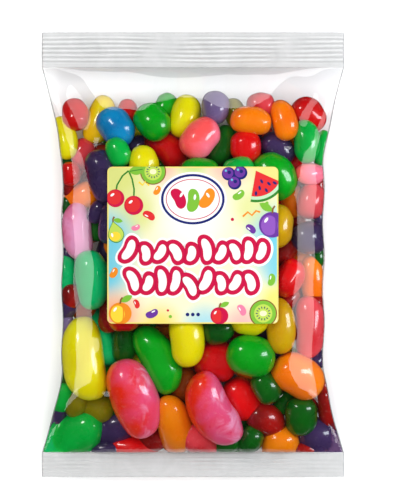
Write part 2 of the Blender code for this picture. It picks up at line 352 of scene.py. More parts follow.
def widest_level(y):
    """Height of the line that runs down each side, and of the seals."""
    past = np.maximum(np.maximum(y - TOP_EDGE, BOTTOM_EDGE - y), 0.0)
    return SEAL_LEVEL + (SIDE_LEVEL - SEAL_LEVEL) * fullness(y) - SEAL_DROOP * past


def section(x, y, in_body):
    """A cross-section's shape from 0 at its edges to 1 in the middle, sharp-edged beside a seal."""
    across = np.clip(x / half_width(x, y), -1.0, 1.0)
    flat_power, edge_power = (a + (b - a) * fullness(y) for a, b in zip(LENS, in_body))
    return (1.0 - np.abs(across) ** flat_power) ** (1.0 / edge_power)


def folds(x, distance, fold_list):
    """Height that the soft folds beside one seal add, at x and that distance from the seal."""
    height = 0.0
    for start, lean, width, reach, rise in fold_list:
        along = distance / reach * np.exp(1.0 - distance / reach)
        height = height + rise * along * np.exp(-(((x - start - lean * distance) / width) ** 2))
    return height


def front_height(x, y):
    """Height of the bag's upper side in the body, without the bumps over the beans."""
    from_top, from_bottom = from_seals(y)
    share = (y - BOTTOM_EDGE) / (TOP_EDGE - BOTTOM_EDGE)
    crown = CROWN_AT_BOTTOM_SEAL + (CROWN_AT_TOP_SEAL - CROWN_AT_BOTTOM_SEAL) * share
    rise = shoulder(from_top, TOP_SHOULDER) * shoulder(from_bottom, BOTTOM_SHOULDER)
    shape = section(x, y, FRONT_ROUNDING)
    level = widest_level(y)
    relief = folds(x, from_top, TOP_FOLDS) + folds(x, from_bottom, BOTTOM_FOLDS)
    return (
        level
        + SEAL_THICKNESS / 2 * np.minimum(1.0, shape / EDGE_BLEND)
        + (crown - level) * rise * shape
        + relief * np.minimum(1.0, shape / RELIEF_BLEND)
    )


def back_height(x, y):
    """Height of the underside in the body, flat where it lies on the surface below."""
    from_top, from_bottom = from_seals(y)
    drop = shoulder(from_top, BELLY_SHOULDER) * shoulder(from_bottom, BELLY_SHOULDER)
    shape = section(x, y, BACK_ROUNDING)
    level = widest_level(y)
    height = (
        level
        - SEAL_THICKNESS / 2 * np.minimum(1.0, shape / EDGE_BLEND)
        - level * BELLY_PRESS * drop * shape
    )
    return np.maximum(height, 0.0)


def slant(heights, step):
    """How much further up than square to it a surface is from a point, at each place of a grid of heights."""
    across, along = np.gradient(heights, step)
    return np.minimum(np.sqrt(1.0 + across**2 + along**2), SLANT_LIMIT)


# ---- Meshes


def add_object(name, data):
    obj = bpy.data.objects.new(name, data)
    bpy.context.scene.collection.objects.link(obj)
    return obj


def mesh_object(name, points, faces, material):
    data = bpy.data.meshes.new(name)
    data.from_pydata(np.asarray(points).tolist(), [], faces)
    data.materials.append(material)
    data.shade_smooth()
    return add_object(name, data)


def tube_faces(rings, sides):
    """Quads between rings of points that follow each other, each ring closed."""
    faces = []
    for i in range(rings - 1):
        for k in range(sides):
            after = (k + 1) % sides
            faces.append((i * sides + k, i * sides + after, (i + 1) * sides + after, (i + 1) * sides + k))
    return faces


def cap_faces(first, sides):
    """Closes a flat ring, whose points run over the front and back underneath, with a strip of quads."""
    faces = []
    for i in range(sides // 2):
        corners = [first + i, first + i + 1, first + (sides - i - 1), first + (-i) % sides]
        faces.append(tuple(dict.fromkeys(corners)))
    return faces


def flat_ring(x, y, front, back):
    """One closed cross-section: over the front from left to right, and back underneath."""
    over = np.stack([x, y, front], axis=1)
    under = np.stack([x, y, back], axis=1)[-2:0:-1]
    return np.concatenate([over, under])


# ---- Beans


def front_bean(flavour, x, y, length, width, turn, sink=0.0, bend=FRONT_BEND):
    """A bean from its row of FRONT_BEANS."""
    return Bean(flavour, x * MM, y * MM, length * MM, width * MM, math.radians(turn), bend, sink * MM)


def axis_of(bean):
    level = math.cos(bean.tilt)
    return np.array([level * math.cos(bean.turn), level * math.sin(bean.turn), math.sin(bean.tilt)])


def side_of(bean):
    return np.array([-math.sin(bean.turn), math.cos(bean.turn), 0.0])


def profile(t):
    """A bean's thickness at t from -1 to 1 along its axis, as a share of its width."""
    return np.sqrt(1.0 - np.abs(t) ** BEAN_BLUNTNESS)


def sway(t):
    """How far a bent bean's axis is off straight at t, as a share of its bend times its length."""
    return t**2 - SWAY_MIDDLE


def chain(bean):
    """Balls that fit inside the bean and stand for it while it is placed: middles from its own, and radii."""
    along = np.linspace(-CHAIN_REACH, CHAIN_REACH, CHAIN_BALLS)
    skin = np.linspace(-1.0, 1.0, 41)
    gap = (skin[None, :] - along[:, None]) * bean.length / 2
    radius = np.sqrt(gap**2 + (profile(skin)[None, :] * bean.width / 2) ** 2).min(axis=1)
    middle = along[:, None] * bean.length / 2 * axis_of(bean)
    middle = middle + (sway(along) * bean.bend * bean.length)[:, None] * side_of(bean)
    return middle, radius


class Heap:
    """The beans placed so far, as balls, and the room that the film leaves for more."""

    STEP = 0.001

    def __init__(self):
        self.balls = np.empty((0, 4))
        x = np.arange(-BAG_WIDTH / 2, BAG_WIDTH / 2, self.STEP)
        y = np.arange(BOTTOM_EDGE, TOP_EDGE, self.STEP)
        x, y = np.meshgrid(x, y, indexing="ij")
        self.front = front_height(x, y)
        self.back = back_height(x, y)
        self.front_slant = slant(self.front, self.STEP)
        self.back_slant = slant(self.back, self.STEP)

    def cell(self, x, y):
        """Where a place is on the grid of heights."""
        i = np.rint((x + BAG_WIDTH / 2) / self.STEP).astype(int)
        k = np.rint((y - BOTTOM_EDGE) / self.STEP).astype(int)
        return np.clip(i, 0, self.front.shape[0] - 1), np.clip(k, 0, self.front.shape[1] - 1)

    def limits(self, bean):
        """The lowest and highest that the bean's middle can be between the back and the front of the film."""
        middle, radius = chain(bean)
        radius = radius + FILM_CLEARANCE
        i, k = self.cell(bean.x + middle[:, 0], bean.y + middle[:, 1])
        highest = self.front[i, k] - radius * self.front_slant[i, k] - middle[:, 2]
        lowest = self.back[i, k] + radius * self.back_slant[i, k] - middle[:, 2]
        return lowest.max(), highest.min()

    def back_and_front(self, bean):
        """The heights of the bag's two sides at the place of the bean's middle."""
        place = self.cell(bean.x, bean.y)
        return self.back[place], self.front[place]

    def level(self, bean):
        """How high a hidden bean may reach."""
        back, front = self.back_and_front(bean)
        if front - back < HIDDEN_THIN:
            return front - HIDDEN_DEPTH
        return back + HIDDEN_LEVEL * (front - back)

    def settle(self, bean, start, way):
        """The first free height of the bean's middle from start, going up for way 1 and down for way -1."""
        middle, radius = chain(bean)
        dx = bean.x + middle[:, None, 0] - self.balls[None, :, 0]
        dy = bean.y + middle[:, None, 1] - self.balls[None, :, 1]
        apart = radius[:, None] + self.balls[None, :, 3] - BEAN_SQUEEZE
        room = np.where(apart > 0.0, apart**2, 0.0) - dx**2 - dy**2
        near = room > 0
        height = (self.balls[None, :, 2] - middle[:, None, 2])[near]
        reach = np.sqrt(room[near])
        low, high = height - reach, height + reach
        height = start
        while True:
            inside = (low < height - 1e-7) & (height + 1e-7 < high)
            if not inside.any():
                return height
            height = high[inside].max() if way > 0 else low[inside].min()

    def add(self, bean):
        middle, radius = chain(bean)
        balls = np.column_stack([middle + (bean.x, bean.y, bean.z), radius])
        self.balls = np.concatenate([self.balls, balls])


def lean_with_film(bean):
    """Tilts a bean as the film above it slopes along the bean's axis."""
    reach = (bean.length - bean.width) / 2 + LEAN_REACH * bean.width
    across, along = math.cos(bean.turn) * reach, math.sin(bean.turn) * reach
    x = np.array([bean.x - across, bean.x + across])
    y = np.array([bean.y - along, bean.y + along])
    low, high = front_height(x, y)
    bean.tilt = max(-LEAN_LIMIT, min(LEAN_LIMIT, math.atan2(high - low, 2 * reach)))


def place_front(beans, heap):
    for bean in beans:
        lean_with_film(bean)
        lowest, highest = heap.limits(bean)
        start = highest - bean.sink
        bean.z = max(heap.settle(bean, start, -1), min(lowest, start))
        heap.add(bean)


def hidden_beans(heap):
    """Fills what is left of the bag from the back upwards, first with large beans, then with smaller ones."""
    draw = random.Random(HIDDEN_SEED)
    beans = []
    for smallest, largest, tries in HIDDEN_ROUNDS:
        for _ in range(tries):
            y = draw.uniform(*HIDDEN_Y)
            share = (y - BOTTOM_EDGE) / (TOP_EDGE - BOTTOM_EDGE)
            size = draw.uniform(smallest, largest)
            length, width = (
                (a + (b - a) * share) * size for a, b in zip(HIDDEN_SIZE_BOTTOM, HIDDEN_SIZE_TOP)
            )
            edge = float(half_width(np.array(1.0), np.array(y))) - width / 2
            bean = Bean("", draw.uniform(-edge, edge), y, length, width, draw.uniform(0.0, math.pi))
            bean.tilt = draw.uniform(-HIDDEN_TILT, HIDDEN_TILT)
            lowest, highest = heap.limits(bean)
            bean.z = heap.settle(bean, lowest, 1)
            if bean.z + bean.width / 2 < heap.level(bean) and bean.z < highest:
                back, front = heap.back_and_front(bean)
                deep = bean.z < back + GAP_LEVEL * (front - back)
                # beans just behind the front ones take dark flavours only: painted shade in the gaps
                flavours = DEEP_FLAVOURS if deep else GAP_SHADE_FLAVOURS
                bean.flavour = draw.choices(list(flavours), list(flavours.values()))[0]
                heap.add(bean)
                beans.append(bean)
    return beans


def press_into_bag(points):
    """Keeps every point inside the film, so that a bean at the edge lies flat against it."""
    x, y, z = points.T
    y = np.clip(y, BOTTOM_EDGE + FILM_CLEARANCE, TOP_EDGE - FILM_CLEARANCE)
    reach = half_width(x, y) - FILM_CLEARANCE
    x = np.clip(x, -reach, reach)
    front, back = front_height(x, y), back_height(x, y)
    middle = (front + back) / 2
    z = np.minimum(z, np.maximum(front - FILM_CLEARANCE, middle))
    z = np.maximum(z, np.minimum(back + FILM_CLEARANCE, middle))
    return np.stack([x, y, z], axis=1)


def bean_points(bean, draw):
    """The bean's surface: rings round a bent axis, with blunt ends, one of them fuller than the other."""
    blunt = BEAN_BLUNTNESS + draw.uniform(-BLUNTNESS_SPREAD, BLUNTNESS_SPREAD)
    taper = draw.uniform(-TAPER_SPREAD, TAPER_SPREAD)
    flat = draw.uniform(FLATTEST, 1.0)
    lumps = [(draw.uniform(*LUMP_HEIGHTS), k, m, draw.uniform(0.0, math.tau)) for k, m in LUMPS]
    turns = np.linspace(0.0, math.pi, BEAN_RINGS + 1)[:, None]
    sides = np.arange(BEAN_SIDES)[None, :] * math.tau / BEAN_SIDES
    along = -np.sign(np.cos(turns)) * np.abs(np.cos(turns)) ** (2 / blunt)
    round_ = np.sin(turns) ** (2 / blunt) * (1.0 + taper * along)
    surface = sum(size * np.sin(k * turns * 2 + m * sides + shift) for size, k, m, shift in lumps)
    radius = bean.width / 2 * round_ * (1.0 + surface * np.sin(turns))
    hollow = np.sign(bean.bend) * np.maximum(np.sign(bean.bend) * np.cos(sides), 0.0) ** 2
    hollow = hollow * HOLLOW_DEPTH * abs(bean.bend) * np.exp(-((along / HOLLOW_REACH) ** 2))
    local_x = np.broadcast_to(bean.length / 2 * along, radius.shape)
    local_y = radius * np.cos(sides) + bean.bend * bean.length * sway(along)
    local_y = local_y - hollow * bean.width / 2
    local_z = flat * radius * np.sin(sides)
    axis, side = axis_of(bean), side_of(bean)
    up = np.cross(axis, side)
    local = np.stack([local_x, local_y, local_z], axis=-1).reshape(-1, 3)
    return local @ np.stack([axis, side, up]) + np.array([bean.x, bean.y, bean.z])


def bean_piece(flavour, beans, material):
    """All beans of one flavour in one mesh. The attribute tone is a different number on each bean."""
    draw = random.Random(flavour)
    points, faces, tones = [], [], []
    for bean in beans:
        first = sum(len(p) for p in points)
        surface = press_into_bag(bean_points(bean, draw))
        points.append(surface)
        faces += [tuple(first + i for i in face) for face in tube_faces(BEAN_RINGS + 1, BEAN_SIDES)]
        tones.append(np.full(len(surface), draw.random()))
    obj = mesh_object(f"beans_{flavour}", np.concatenate(points), faces, material)
    tone = obj.data.attributes.new("tone", "FLOAT", "POINT")
    tone.data.foreach_set("value", np.concatenate(tones).astype(np.float32))
    weld = bmesh.new()
    weld.from_mesh(obj.data)
    bmesh.ops.remove_doubles(weld, verts=weld.verts, dist=1e-6)
    bmesh.ops.recalc_face_normals(weld, faces=weld.faces)
    weld.to_mesh(obj.data)
    weld.free()
    return obj


# ---- The film and its seals


FILM_COLUMNS = 104
FILM_ROWS = 250
SEAL_COLUMNS = 256
TOP_FLAT_SPOTS = ((-0.016, 0.009), (0.046, 0.006))  # where a seal's ribs fade: x and reach
BOTTOM_FLAT_SPOTS = ((-0.012, 0.016), (0.075, 0.018))
TEETH = 64
ROWS_PER_RIB = 12
RIB_STRENGTH = 0.75  # of the ribs' full height
FLAT_SPOT_LOSS = 0.8  # the share of a rib's height that is gone in the middle of a flat spot
SMOOTH_SIDE = (0.040, 0.012)  # from the middle line to where the film grows smooth, and over what reach
BUMPS_END = (0.052, 0.015)  # the same from y = 0 towards the top seal
BUMP_REACH = 0.42  # of a bump, as a share of its bean's size
BUMP_SINK = 0.0015  # a bean this deep makes a bump about a third as high
SLACK_EDGE = 0.012  # the slack fades out within this of the bag's edge

# Waves: their height or size, and the length that a radian of them takes
SLACK_RUN = 0.0081  # along the bag
SLACK_PHASE = 0.6
SLACK_MEANDER = (0.7, 0.019)
CROSS_WAVES = ((0.7, -0.013, 0.0047, 2.1), (0.5, 0.0065, 0.017, 0.4))  # share, lengths along x and y, phase
RIB_WANDER = (0.7, 0.021)
RIB_JITTER = (0.4, 0.0087)
RIB_JITTER_LEAN = 0.004
RIB_UNEVENNESS = (0.1, 0.0049)
RAGGED_SPOTS = (0.004, 0.003)


def wave(place, size, run, phase=0.0):
    return size * np.sin(place / run + phase)


def label_mask(x, y):
    """1 away from the label, and 0 under it and beside it, where the sticker holds the film smooth."""
    beside = np.maximum(np.abs(x) - LABEL_WIDTH / 2, np.abs(y - LABEL_MIDDLE_Y) - LABEL_HEIGHT / 2)
    return smooth((beside - LABEL_BORDER) / LABEL_BLEND)


def side_mask(x, y):
    """1 in the middle of the bag, and 0 along its sides, where the film is stretched smooth."""
    inner, reach = SMOOTH_SIDE
    return 1.0 - smooth((np.abs(x) - inner) / reach)


def slack(x, y):
    """Long, shallow waves of the film, away from the label and from its edges."""
    waves = np.sin(y / SLACK_RUN + wave(x, *SLACK_MEANDER) + SLACK_PHASE)
    for share, run_x, run_y, phase in CROSS_WAVES:
        waves = waves + share * np.sin(x / run_x + y / run_y + phase)
    edge = half_width(x, y) - np.abs(x)
    return SLACK * waves * smooth(edge / SLACK_EDGE) * label_mask(x, y) * fullness(y)


def bumps(x, y, beans):
    """Height that the beans behind it add to the front film."""
    relief = np.zeros_like(x)
    for bean in beans:
        dx, dy = x - bean.x, y - bean.y
        along = (dx * math.cos(bean.turn) + dy * math.sin(bean.turn)) / (BUMP_REACH * bean.length)
        beside = (dy * math.cos(bean.turn) - dx * math.sin(bean.turn)) / (BUMP_REACH * bean.width)
        share = math.exp(-bean.sink / BUMP_SINK)
        relief = np.maximum(relief, share * np.exp(-(along**2 + beside**2)))
    start, reach = BUMPS_END
    below_top = 1.0 - smooth((y - start) / reach)
    return BUMP_HEIGHT * relief * label_mask(x, y) * side_mask(x, y) * fullness(y) * below_top


def make_film(beans, material):
    middle, half = (TOP_EDGE + BOTTOM_EDGE) / 2, (TOP_EDGE - BOTTOM_EDGE) / 2
    rings = []
    even = np.linspace(-1.0, 1.0, FILM_COLUMNS + 1)
    rounded = -np.cos(np.linspace(0.0, math.pi, FILM_COLUMNS + 1))
    for row in range(FILM_ROWS + 1):
        y = np.full(FILM_COLUMNS + 1, middle - half * math.cos(math.pi * row / FILM_ROWS))
        across = even + (rounded - even) * fullness(y)
        x = across * half_width(across, y)
        front = front_height(x, y) + bumps(x, y, beans) + slack(x, y)
        back = back_height(x, y)
        front[[0, -1]] = back[[0, -1]] = widest_level(y)[0]
        rings.append(flat_ring(x, y, front, back))
    faces = tube_faces(len(rings), 2 * FILM_COLUMNS)
    return mesh_object("film", np.concatenate(rings), faces, material)


def seal_lift(x, distance, ribbed, flat_spots):
    """Height of the ribs of a seal, which waver a little and fade in places."""
    ribs = round(ribbed / RIB_PITCH)
    wander = wave(x, *RIB_WANDER, phase=1.0) + wave(x, *RIB_JITTER, phase=distance / RIB_JITTER_LEAN)
    strength = RIB_STRENGTH + wave(x, *RIB_UNEVENNESS, phase=0.5)
    for middle, reach in flat_spots:
        apart = (x - middle + wave(distance, *RAGGED_SPOTS)) / reach
        strength = strength * (1.0 - FLAT_SPOT_LOSS * np.exp(-(apart**2)))
    inside = np.clip((distance - SEAL_MARGIN) / ribbed, 0.0, 1.0)
    fade = smooth(inside * ribs) * smooth((1.0 - inside) * ribs)
    return RIB_HEIGHT / 2 * strength * fade * np.cos(math.tau * inside * ribs + wander)


def make_seal(name, edge, outer, flat_spots, material):
    way = math.copysign(1.0, outer - edge)
    length = abs(outer - edge)
    ribbed = length - 2 * SEAL_MARGIN
    rows = round(ribbed / RIB_PITCH) * ROWS_PER_RIB
    x = np.linspace(-BAG_WIDTH / 2, BAG_WIDTH / 2, SEAL_COLUMNS + 1)
    tooth = np.abs(x / BAG_WIDTH * TEETH % 1.0 - 0.5) * 2
    rings = []
    for row in range(rows + 1):
        distance = np.full(SEAL_COLUMNS + 1, length * row / rows)
        if row == rows:
            distance -= TOOTH_DEPTH * tooth
        y = edge + way * distance
        level = widest_level(y) + seal_lift(x, distance, ribbed, flat_spots)
        front, back = level + SEAL_THICKNESS / 2, level - SEAL_THICKNESS / 2
        front[[0, -1]] = back[[0, -1]] = level[[0, -1]]
        rings.append(flat_ring(x, y, front, back))
    if way < 0:
        rings.reverse()
    sides = 2 * SEAL_COLUMNS
    faces = tube_faces(len(rings), sides)
    faces += [tuple(reversed(face)) for face in cap_faces(0, sides)]
    faces += cap_faces((len(rings) - 1) * sides, sides)
    return mesh_object(name, np.concatenate(rings), faces, material)


# ---- The sticker. Its print is made of plain shapes in mm from its middle; +u is right and +v is up.


STALK_WIDTH = 0.8
LEAF_STEPS = 12
DOT_SIDES = 16
PRINT_BEAN_SIDES = 48
PRINT_BEAN_BLUNTNESS = 2.3
PRINT_HOLLOW_DEPTH = 3.2  # measured like HOLLOW_DEPTH of the real beans
PRINT_HOLLOW_REACH = 0.4
FRUIT_SIDES = 40
PLAQUE_SIDES = 64
KIWI_SEEDS = 14


def turned(points, u, v, turn=0.0, size=1.0):
    """Points turned by turn degrees, scaled, and moved to u, v."""
    c, s = math.cos(math.radians(turn)) * size, math.sin(math.radians(turn)) * size
    return [(u + a * c - b * s, v + a * s + b * c) for a, b in points]


def ellipse(u, v, across, up=None, turn=0.0, sides=FRUIT_SIDES):
    """An ellipse from its two half widths, or a circle from one."""
    up = across if up is None else up
    steps = [math.tau * i / sides for i in range(sides)]
    return turned([(across * math.cos(t), up * math.sin(t)) for t in steps], u, v, turn)


def sector(u, v, radius, start, end, sides=24):
    """A slice of a circle, with its point at u, v."""
    steps = [math.radians(start + (end - start) * i / sides) for i in range(sides + 1)]
    return [(u, v)] + [(u + radius * math.cos(t), v + radius * math.sin(t)) for t in steps]


def leaf(u, v, length, width, turn):
    """A leaf with its stem end at u, v."""
    steps = [i / LEAF_STEPS for i in range(LEAF_STEPS + 1)]
    over = [(length * t, width / 2 * math.sin(math.pi * t) ** 0.8) for t in steps]
    under = [(a, -b) for a, b in over[-2:0:-1]]
    return turned(over + under, u, v, turn)


def stalk(points, width):
    """A thin curved strip through a few points."""
    points = np.array(points, dtype=float)
    along = np.gradient(points, axis=0)
    square = np.stack([-along[:, 1], along[:, 0]], axis=1) / np.linalg.norm(along, axis=1)[:, None]
    sides = np.concatenate([points + square * width / 2, (points - square * width / 2)[::-1]])
    return [tuple(point) for point in sides.tolist()]


def bean_shape(u, v, length, width, turn, bend=0.05, grow=0.0):
    """The outline of a bent bean with a hollow side, grown by that much all round."""
    length, width = length + 2 * grow, width + 2 * grow
    steps = np.linspace(0.0, math.tau, PRINT_BEAN_SIDES, endpoint=False)
    blunt = 2 / PRINT_BEAN_BLUNTNESS
    along = np.sign(np.cos(steps)) * np.abs(np.cos(steps)) ** blunt
    side = np.sign(np.sin(steps)) * np.abs(np.sin(steps)) ** blunt * width / 2
    hollow = PRINT_HOLLOW_DEPTH * bend * np.exp(-((along / PRINT_HOLLOW_REACH) ** 2)) * width / 2
    side = side - np.where(side > 0, hollow, 0.0)
    side = side + bend * length * sway(along)
    return turned(list(zip((along * length / 2).tolist(), side.tolist())), u, v, turn)


def shiny_bean(u, v, length, width, turn, ink):
    """A small printed bean with a highlight."""
    spark = turned([(0.16 * length, 0.18 * width)], u, v, turn)[0]
    yield 1, ink, bean_shape(u, v, length, width, turn)
    yield 2, "white", ellipse(*spark, 0.16 * length, 0.09 * width, turn)


def outlined_bean(u, v, length, width, turn):
    """A white bean with a broad crimson outline and a white rim."""
    for layer, ink, grow in ((1, "white", 3.2), (2, "crimson", 2.1), (3, "white", 0.0)):
        yield layer, ink, bean_shape(u, v, length, width, turn, 0.06, grow)


# The pictures below are drawn about u, v = 0, 0, the fruits but for the cherries with a radius of about 1.
# Each part is its layer, its ink and its outline.


def drawn(picture, u, v, size=1.0, turn=0.0):
    """The picture's parts, turned, scaled and moved to u, v."""
    return [(layer, ink, turned(outline, u, v, turn, size)) for layer, ink, outline in picture]


def ovals(sides, *sizes):
    """Ovals on top of each other, each from its ink and its two half widths."""
    for layer, (ink, across, up) in enumerate(sizes, 1):
        yield layer, ink, ellipse(0, 0, across, up, sides=sides)


def plaque():
    """An oval shield with two rims and three beans."""
    yield from ovals(
        PLAQUE_SIDES,
        ("white", 16.6, 13.4),
        ("navy", 15.6, 12.4),
        ("white", 14.4, 11.2),
        ("crimson", 13.2, 10.0),
        ("white", 12.8, 9.6),
    )
    yield 6, "crimson", bean_shape(-7.0, 0.4, 10.6, 6.0, 118)
    yield 6, "green", bean_shape(0, -0.6, 11.4, 6.2, 84)
    yield 6, "orange", bean_shape(7.0, 0.4, 10.6, 6.0, 58)
    yield 7, "white", ellipse(-5.6, 2.2, 0.6, 1.3, -28)
    yield 7, "white", ellipse(1.0, 1.0, 0.6, 1.4, -8)
    yield 7, "white", ellipse(7.4, 2.0, 0.6, 1.3, 32)


def cherries():
    yield 1, "leaf", stalk([(-4, 0), (-3.2, 5), (-0.5, 9.5), (2.5, 12)], STALK_WIDTH)
    yield 1, "leaf", stalk([(5, -3), (5.2, 3), (4.2, 8), (2.5, 12)], STALK_WIDTH)
    yield 2, "green", leaf(2.5, 11.6, 8.0, 4.4, 8)
    yield 3, "leaf", stalk([(3, 11.7), (6, 12.2), (9.4, 12.7)], STALK_WIDTH / 2)
    for u, v, size in ((-4, -1.5, 4.4), (5, -5, 4.7)):
        yield 2, "crimson", ellipse(u, v, size)
        yield 3, "red", ellipse(u - 0.5, v + 0.4, size * 0.8)
        yield 4, "white", ellipse(u - 1.5, v + 1.7, 1.1, 0.6, 35)


def melon_wedge():
    """A wedge of watermelon from its point towards +u."""
    for layer, ink, radius in ((1, "leaf", 1.0), (2, "mint", 0.92), (3, "red", 0.82)):
        yield layer, ink, sector(0, 0, radius, -38, 38)
    for share, swing in ((0.38, 0), (0.56, -16), (0.58, 17), (0.70, 0), (0.72, -28), (0.71, 29)):
        t = math.radians(swing)
        yield 4, "navy", ellipse(share * math.cos(t), share * math.sin(t), 0.075, 0.04, swing, 12)


def kiwi_slice():
    sizes = ("brown", 1.0, 1.0), ("green", 0.92, 0.92), ("lime", 0.66, 0.66), ("cream", 0.26, 0.20)
    yield from ovals(FRUIT_SIDES, *sizes)
    for i in range(KIWI_SEEDS):
        t = math.tau * i / KIWI_SEEDS
        yield 5, "navy", ellipse(0.46 * math.cos(t), 0.43 * math.sin(t), 0.085, 0.035, math.degrees(t), 10)


def berries():
    """Three blueberries and a leaf."""
    for u, v in ((-0.9, 0.0), (0.9, 0.15), (0.0, -1.35)):
        yield 2, "navy", ellipse(u, v, 1.0)
        yield 3, "violet", ellipse(u - 0.1, v + 0.1, 0.80)
        yield 4, "navy", ellipse(u + 0.1, v + 0.2, 0.26)
        yield 5, "sky", ellipse(u - 0.4, v + 0.45, 0.16)
    yield 1, "leaf", leaf(0.3, 0.6, 2.6, 1.4, 60)


def pear(stem):
    """A pear with its stalk, as wide as stem, and a leaf."""
    steps = [math.tau * i / 48 for i in range(48)]
    half_widths = [0.48 + 0.30 * math.cos(t) - 0.10 * math.cos(2 * t) for t in steps]
    body = [(across * math.sin(t), -0.85 * math.cos(t)) for across, t in zip(half_widths, steps)]
    yield 1, "leaf", body
    yield 2, "lime", turned(body, 0, 0, size=0.92)
    yield 3, "yellow", ellipse(-0.10, -0.34, 0.42, 0.36)
    yield 4, "white", ellipse(-0.30, -0.18, 0.08, 0.16)
    yield 1, "brown", stalk([(0, 0.75), (0.06, 1.0), (0.2, 1.15)], stem)
    yield 2, "green", leaf(0.06, 0.95, 0.75, 0.36, -24)


def round_fruit(stem, skin, blush, leaf_turn):
    """A plum or a peach, with a dimple line, a warm side, a leaf, and a stalk as wide as stem."""
    line = [(0.30 * math.cos(t), 0.95 * math.sin(t)) for t in np.linspace(-1.2, 1.25, 9)]
    yield 1, skin, ellipse(0, 0, 1.0, 0.96)
    yield 2, blush, ellipse(-0.22, -0.05, 0.62, 0.74)
    yield 3, skin, stalk(line, 0.10)
    yield 3, "white", ellipse(-0.45, 0.35, 0.10, 0.22, -35)
    yield 4, "brown", stalk([(0, 0.85), (0.05, 1.2), (0.2, 1.4)], stem)
    yield 3, "green", leaf(0.05, 1.02, 1.15, 0.55, leaf_turn)


# What the print is made of besides the pictures, in mm and degrees
NAME_BEANS = (  # u, v, length, width, turn
    (-31.4, -2.4, 10.6, 4.6, 62),
    (-23.2, -4.0, 8.0, 4.4, 98),
    (-16.0, -3.6, 8.4, 4.4, 58),
    (-8.4, -3.4, 9.0, 4.8, 118),
    (-0.8, -4.2, 7.6, 4.4, 78),
    (6.6, -2.2, 11.0, 4.6, 100),
    (13.8, -3.8, 8.2, 4.4, 64),
    (20.6, -3.2, 8.6, 4.4, 112),
    (27.2, -2.6, 9.6, 4.4, 84),
    (33.6, -3.0, 9.0, 4.4, 72),
    (-29.4, -17.4, 10.6, 4.6, 112),
    (-22.0, -18.8, 7.8, 4.4, 70),
    (-15.2, -17.4, 11.0, 4.4, 94),
    (-8.6, -17.6, 10.6, 4.4, 78),
    (-1.4, -20.0, 10.4, 4.6, 120),
    (6.4, -17.4, 10.6, 4.8, 66),
    (13.8, -18.6, 8.0, 4.4, 100),
    (20.8, -18.4, 8.6, 4.6, 60),
    (28.2, -18.2, 8.8, 4.6, 106),
)
SMALL_BEANS = (
    (-21.5, 14.5, 6.4, 3.8, 150, "red"),
    (-28.0, 8.6, 4.4, 2.8, 20, "pink"),
    (22.5, 24.5, 6.4, 3.8, 35, "green"),
    (28.5, 8.0, 5.6, 3.4, 140, "violet"),
    (-17.5, 26.8, 4.8, 3.0, 60, "orange"),
    (-20.0, -33.6, 6.4, 3.8, 25, "violet"),
    (-27.6, -28.8, 4.6, 2.8, 110, "red"),
    (24.0, -31.8, 5.8, 3.6, 120, "pink"),
    (38.6, -17.0, 6.0, 3.6, 80, "green"),
    (-38.8, -13.6, 5.6, 3.4, 60, "orange"),
)
ROUND_FRUITS = (  # u, v, size, skin, warm side, turn of the leaf
    (39.0, 10.0, 6.6, "violet", "plum", 150),
    (-35.6, -33.5, 5.6, "orange", "yellow", 28),
    (13.0, -34.6, 4.4, "crimson", "red", 24),
)
RIBBONS = (
    ("orange", ((24.5, 14.0), (27, 16.2), (29, 14.6), (31, 16.8), (33.0, 16.2))),
    ("yellow", ((-26.5, 31.0), (-24.6, 29.4), (-23.4, 31.2), (-21.4, 29.2))),
)
DOTS = (
    (-2.6, -34.0, 0.9, "navy"),
    (0.0, -34.0, 0.9, "navy"),
    (2.6, -34.0, 0.9, "navy"),
    (-11.0, -35.0, 0.8, "green"),
    (-30.0, 15.6, 0.9, "sky"),
    (19.4, 12.6, 0.8, "crimson"),
    (-12.2, -32.0, 0.6, "crimson"),
    (36.4, 20.6, 0.8, "green"),
)
RIBBON_WIDTH = 0.9


def label_print():
    """Every shape of the print as its layer, its ink and its outline."""
    shapes = drawn(plaque(), 0, 22.5)
    for bean in NAME_BEANS:
        shapes += outlined_bean(*bean)
    shapes += drawn(cherries(), -34.0, 24.5)
    shapes += drawn(kiwi_slice(), -19.5, 36.0, 6.4)
    shapes += drawn(berries(), 20.5, 35.0, 3.3)
    shapes += drawn(melon_wedge(), 31.0, 36.5, 15.5, -62)
    shapes += drawn(pear(STALK_WIDTH / 6.4), -38.0, 6.5, 6.4, 14)
    shapes += drawn(kiwi_slice(), 34.5, -33.5, 6.8)
    for u, v, size, skin, blush, leaf_turn in ROUND_FRUITS:
        shapes += drawn(round_fruit(STALK_WIDTH / size, skin, blush, leaf_turn), u, v, size)
    for ink, points in RIBBONS:
        shapes.append((1, ink, stalk(points, RIBBON_WIDTH)))
    for bean in SMALL_BEANS:
        shapes += shiny_bean(*bean)
    for u, v, size, ink in DOTS:
        shapes.append((1, ink, ellipse(u, v, size, sides=DOT_SIDES)))
    return shapes


def cut(mesh, axis, place, way=1.0, clear=False):
    """Cuts a mesh in two across an axis, and takes away what is past the cut if clear is set."""
    point, normal = [0.0, 0.0, 0.0], [0.0, 0.0, 0.0]
    point[axis], normal[axis] = place, way
    everything = mesh.verts[:] + mesh.edges[:] + mesh.faces[:]
    bmesh.ops.bisect_plane(mesh, geom=everything, plane_co=point, plane_no=normal, clear_outer=clear)


def cut_to_label(mesh):
    """Cuts flat shapes off at the sticker's edges and into cells, so that they can bend with the film."""
    for axis, middle, half in ((0, 0.0, LABEL_WIDTH / 2), (1, LABEL_MIDDLE_Y, LABEL_HEIGHT / 2)):
        for way in (-1.0, 1.0):
            cut(mesh, axis, middle + way * half, way, clear=True)
        cells = math.ceil(2 * half / PRINT_CELL)
        for i in range(1, cells):
            cut(mesh, axis, middle - half + 2 * half * i / cells)


